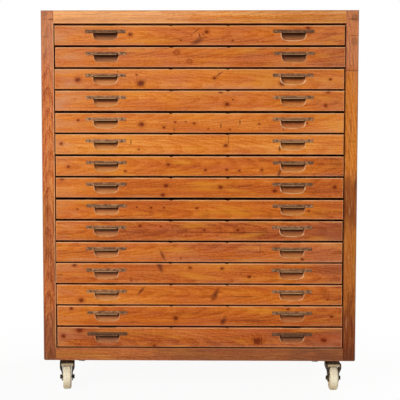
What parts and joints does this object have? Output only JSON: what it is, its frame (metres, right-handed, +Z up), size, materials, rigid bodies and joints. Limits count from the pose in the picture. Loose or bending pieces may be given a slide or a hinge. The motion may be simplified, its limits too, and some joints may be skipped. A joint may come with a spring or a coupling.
{
  "type": "flat file cabinet",
  "caption": "Pine plan chest on swivel casters: a post-and-rail case filled with shallow wide drawers, each with iron strip pulls over carved finger scoops.",
  "frame": {"origin": "on the floor, under the middle of the cabinet's box", "axes": "+X along the front to the right, -Y out of the front, +Z up"},
  "size_m": [1, 0.68, 1.215],
  "materials": {
    "stained_pine": "worn satin stain",
    "drawer_pine": "worn satin stain",
    "raw_pine": "bare planed",
    "pull_iron": "tarnished",
    "caster_zinc": "dull plated",
    "wheel_nylon": "aged ivory"
  },
  "bodies": {
    "case": {"front_left_post": "stained_pine", "front_right_post": "stained_pine", "rear_posts": "stained_pine", "front_top_rail": "stained_pine", "front_bottom_rail": "stained_pine", "rear_rails": "stained_pine", "left_side_rails": "stained_pine", "right_side_rails": "stained_pine", "left_side_panels": "stained_pine", "right_side_panels": "stained_pine", "top_panel": "stained_pine", "bottom_panel": "raw_pine", "back_boards": "stained_pine", "left_runners": "raw_pine", "right_runners": "raw_pine", "drawer_stops": "raw_pine", "caster_bearers": "raw_pine", "caster_plates": "caster_zinc"},
    "drawer_01": {"drawer_01": "drawer_pine", "pulls_01": "pull_iron"},
    "drawer_02": {"drawer_02": "drawer_pine", "pulls_02": "pull_iron"},
    "drawer_03": {"drawer_03": "drawer_pine", "pulls_03": "pull_iron"},
    "drawer_04": {"drawer_04": "drawer_pine", "pulls_04": "pull_iron"},
    "drawer_05": {"drawer_05": "drawer_pine", "pulls_05": "pull_iron"},
    "drawer_06": {"drawer_06": "drawer_pine", "pulls_06": "pull_iron"},
    "drawer_07": {"drawer_07": "drawer_pine", "pulls_07": "pull_iron"},
    "drawer_08": {"drawer_08": "drawer_pine", "pulls_08": "pull_iron"},
    "drawer_09": {"drawer_09": "drawer_pine", "pulls_09": "pull_iron"},
    "drawer_10": {"drawer_10": "drawer_pine", "pulls_10": "pull_iron"},
    "drawer_11": {"drawer_11": "drawer_pine", "pulls_11": "pull_iron"},
    "drawer_12": {"drawer_12": "drawer_pine", "pulls_12": "pull_iron"},
    "drawer_13": {"drawer_13": "drawer_pine", "pulls_13": "pull_iron"},
    "drawer_14": {"drawer_14": "drawer_pine", "pulls_14": "pull_iron"},
    "drawer_15": {"drawer_15": "drawer_pine", "pulls_15": "pull_iron"},
    "front_left_caster": {"front_left_fork": "caster_zinc", "front_left_axle": "caster_zinc"},
    "front_left_wheel": {"front_left_wheel": "wheel_nylon"},
    "front_right_caster": {"front_right_fork": "caster_zinc", "front_right_axle": "caster_zinc"},
    "front_right_wheel": {"front_right_wheel": "wheel_nylon"},
    "rear_left_caster": {"rear_left_fork": "caster_zinc", "rear_left_axle": "caster_zinc"},
    "rear_left_wheel": {"rear_left_wheel": "wheel_nylon"},
    "rear_right_caster": {"rear_right_fork": "caster_zinc", "rear_right_axle": "caster_zinc"},
    "rear_right_wheel": {"rear_right_wheel": "wheel_nylon"}
  },
  "joints": [
    {"name": "drawer_01_slide", "type": "slide", "parent": "case", "child": "drawer_01", "axis": [0, -1, 0], "range_m": [0, 0.45]},
    {"name": "drawer_02_slide", "type": "slide", "parent": "case", "child": "drawer_02", "axis": [0, -1, 0], "range_m": [0, 0.45]},
    {"name": "drawer_03_slide", "type": "slide", "parent": "case", "child": "drawer_03", "axis": [0, -1, 0], "range_m": [0, 0.45]},
    {"name": "drawer_04_slide", "type": "slide", "parent": "case", "child": "drawer_04", "axis": [0, -1, 0], "range_m": [0, 0.45]},
    {"name": "drawer_05_slide", "type": "slide", "parent": "case", "child": "drawer_05", "axis": [0, -1, 0], "range_m": [0, 0.45]},
    {"name": "drawer_06_slide", "type": "slide", "parent": "case", "child": "drawer_06", "axis": [0, -1, 0], "range_m": [0, 0.45]},
    {"name": "drawer_07_slide", "type": "slide", "parent": "case", "child": "drawer_07", "axis": [0, -1, 0], "range_m": [0, 0.45]},
    {"name": "drawer_08_slide", "type": "slide", "parent": "case", "child": "drawer_08", "axis": [0, -1, 0], "range_m": [0, 0.45]},
    {"name": "drawer_09_slide", "type": "slide", "parent": "case", "child": "drawer_09", "axis": [0, -1, 0], "range_m": [0, 0.45]},
    {"name": "drawer_10_slide", "type": "slide", "parent": "case", "child": "drawer_10", "axis": [0, -1, 0], "range_m": [0, 0.45]},
    {"name": "drawer_11_slide", "type": "slide", "parent": "case", "child": "drawer_11", "axis": [0, -1, 0], "range_m": [0, 0.45]},
    {"name": "drawer_12_slide", "type": "slide", "parent": "case", "child": "drawer_12", "axis": [0, -1, 0], "range_m": [0, 0.45]},
    {"name": "drawer_13_slide", "type": "slide", "parent": "case", "child": "drawer_13", "axis": [0, -1, 0], "range_m": [0, 0.45]},
    {"name": "drawer_14_slide", "type": "slide", "parent": "case", "child": "drawer_14", "axis": [0, -1, 0], "range_m": [0, 0.45]},
    {"name": "drawer_15_slide", "type": "slide", "parent": "case", "child": "drawer_15", "axis": [0, -1, 0], "range_m": [0, 0.45]},
    {"name": "front_left_swivel", "type": "hinge", "parent": "case", "child": "front_left_caster", "pos_m": [-0.436, -0.25, 0.092], "axis": [0, 0, 1], "continuous": true},
    {"name": "front_left_roll", "type": "hinge", "parent": "front_left_caster", "child": "front_left_wheel", "pos_m": [-0.4321, -0.27773, 0.04], "axis": [0.9903, 0.1392, 0], "continuous": true},
    {"name": "front_right_swivel", "type": "hinge", "parent": "case", "child": "front_right_caster", "pos_m": [0.436, -0.25, 0.092], "axis": [0, 0, 1], "continuous": true},
    {"name": "front_right_roll", "type": "hinge", "parent": "front_right_caster", "child": "front_right_wheel", "pos_m": [0.436, -0.278, 0.04], "axis": [1, 0, 0], "continuous": true},
    {"name": "rear_left_swivel", "type": "hinge", "parent": "case", "child": "rear_left_caster", "pos_m": [-0.436, 0.215, 0.092], "axis": [0, 0, 1], "continuous": true},
    {"name": "rear_left_roll", "type": "hinge", "parent": "rear_left_caster", "child": "rear_left_wheel", "pos_m": [-0.44558, 0.18869, 0.04], "axis": [0.9397, -0.342, 0], "continuous": true},
    {"name": "rear_right_swivel", "type": "hinge", "parent": "case", "child": "rear_right_caster", "pos_m": [0.436, 0.215, 0.092], "axis": [0, 0, 1], "continuous": true},
    {"name": "rear_right_roll", "type": "hinge", "parent": "rear_right_caster", "child": "rear_right_wheel", "pos_m": [0.42642, 0.18869, 0.04], "axis": [0.9397, -0.342, 0], "continuous": true}
  ]
}
